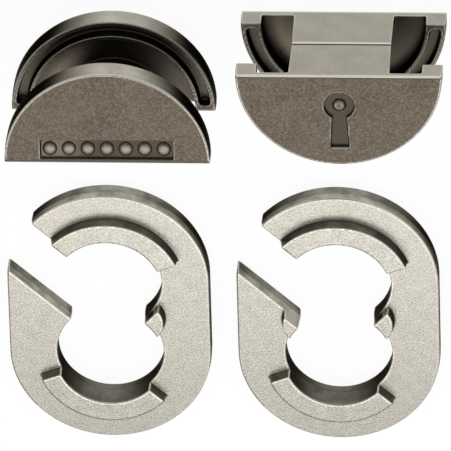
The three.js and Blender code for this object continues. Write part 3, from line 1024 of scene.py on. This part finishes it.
def make_floor():
    """A large white sheet that the set lies on, with the set's faint shadow."""
    stage = bpy.context.scene.padlock_stage
    mesh = bpy.data.meshes.new("floor")
    corners = [(-FLOOR_REACH, -FLOOR_REACH, 0), (FLOOR_REACH, -FLOOR_REACH, 0),
               (FLOOR_REACH, FLOOR_REACH, 0), (-FLOOR_REACH, FLOOR_REACH, 0)]
    mesh.from_pydata(corners, [], [(0, 1, 2, 3)])
    floor = bpy.data.objects.new("floor", mesh)
    bpy.context.scene.collection.objects.link(floor)
    material, tree = new_material("white_paper")
    paper = add_node(tree, "ShaderNodeBsdfDiffuse", Color=stage.paper)
    white = add_node(tree, "ShaderNodeEmission", Color=(1, 1, 1, 1), Strength=1.0)
    ray = add_node(tree, "ShaderNodeLightPath").outputs
    seen = add_node(tree, "ShaderNodeMath", {"operation": "MAXIMUM"}, i0=ray["Is Camera Ray"],
                    i1=ray["Is Glossy Ray"])
    seen = add_node(tree, "ShaderNodeMath", {"operation": "MAXIMUM"}, i0=seen.outputs[0],
                    i1=ray["Is Transmission Ray"])
    share = add_node(tree, "ShaderNodeMath", {"operation": "MULTIPLY"}, i0=seen.outputs[0],
                     i1=1 - stage.shadow)
    sheet = add_node(tree, "ShaderNodeMixShader", i0=share.outputs[0], i1=paper.outputs[0],
                     i2=white.outputs[0])
    add_node(tree, "ShaderNodeOutputMaterial", Surface=sheet.outputs[0])
    mesh.materials.append(material)


# ---- operators and panel -------------------------------------------------------------------


class PADLOCK_OT_links(bpy.types.Operator):
    """Make both shackle links"""
    bl_idname = "padlock.links"
    bl_label = "Shackle links"

    def execute(self, context):
        make_link("left_link_cast", "left_shackle_link", (1,), "left_link")
        make_link("right_link_cast", "right_shackle_link", (1, -1), "right_link")
        return {"FINISHED"}


class PADLOCK_OT_upper_half(bpy.types.Operator):
    """Make the two castings of the upper half disc"""
    bl_idname = "padlock.upper_half"
    bl_label = "Upper half disc"

    def execute(self, context):
        make_half("upper", ("upper_rear_casting", "upper_front_casting"), 1, "upper_half", strip)
        return {"FINISHED"}


class PADLOCK_OT_lower_half(bpy.types.Operator):
    """Make the two castings of the lower half disc"""
    bl_idname = "padlock.lower_half"
    bl_label = "Lower half disc"

    def execute(self, context):
        make_half("lower", ("lower_rear_casting", "lower_front_casting"), -1, "lower_half", keyhole)
        return {"FINISHED"}


class PADLOCK_OT_studs(bpy.types.Operator):
    """Make the raised studs in the sunk strip"""
    bl_idname = "padlock.studs"
    bl_label = "Strip studs"

    def execute(self, context):
        make_studs()
        return {"FINISHED"}


class PADLOCK_OT_dowels(bpy.types.Operator):
    """Give the dowels inside the half hubs their finish"""
    bl_idname = "padlock.dowels"
    bl_label = "Dowels"

    def execute(self, context):
        steel = ground_steel()
        for name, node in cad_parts.items():
            if "dowel" in name:
                node.data.materials.clear()
                node.data.materials.append(steel)
        return {"FINISHED"}


class PADLOCK_OT_stage(bpy.types.Operator):
    """Make the camera, the lamp, the surround and the floor"""
    bl_idname = "padlock.stage"
    bl_label = "Stage"

    def execute(self, context):
        context.scene.view_settings.view_transform = "Standard"
        make_camera()
        make_world()
        make_floor()
        make_lamp()
        return {"FINISHED"}


PIECE_OPERATORS = (PADLOCK_OT_stage, PADLOCK_OT_links, PADLOCK_OT_upper_half, PADLOCK_OT_lower_half,
                   PADLOCK_OT_studs, PADLOCK_OT_dowels)


class PADLOCK_PT_panel(bpy.types.Panel):
    """Sizes, colours and the operators that build the padlock"""
    bl_idname = "PADLOCK_PT_panel"
    bl_label = "Disc padlock"
    bl_space_type = "VIEW_3D"
    bl_region_type = "UI"
    bl_category = "Padlock"

    def draw(self, context):
        for attribute_name in SETTINGS:
            box = self.layout.box()
            group = getattr(context.scene, attribute_name)
            for key in group.bl_rna.properties.keys():
                if key not in ("rna_type", "name"):
                    box.prop(group, key)
        for operator in PIECE_OPERATORS:
            self.layout.operator(operator.bl_idname)


SETTINGS = {
    "padlock_link": LinkSizes,
    "padlock_half": HalfSizes,
    "padlock_marks": MarkSizes,
    "padlock_finish": Finish,
    "padlock_stage": StageSizes,
}
CLASSES = (*SETTINGS.values(), *PIECE_OPERATORS, PADLOCK_PT_panel)


def register():
    for cls in CLASSES:
        bpy.utils.register_class(cls)
    for name, group in SETTINGS.items():
        setattr(bpy.types.Scene, name, PointerProperty(type=group))


def unregister():
    for name in SETTINGS:
        delattr(bpy.types.Scene, name)
    for cls in reversed(CLASSES):
        bpy.utils.unregister_class(cls)


def main():
    register()
    bpy.ops.padlock.stage()
    bpy.ops.padlock.links()
    bpy.ops.padlock.upper_half()
    bpy.ops.padlock.lower_half()
    bpy.ops.padlock.studs()
    bpy.ops.padlock.dowels()


if __name__ == "__main__":
    main()
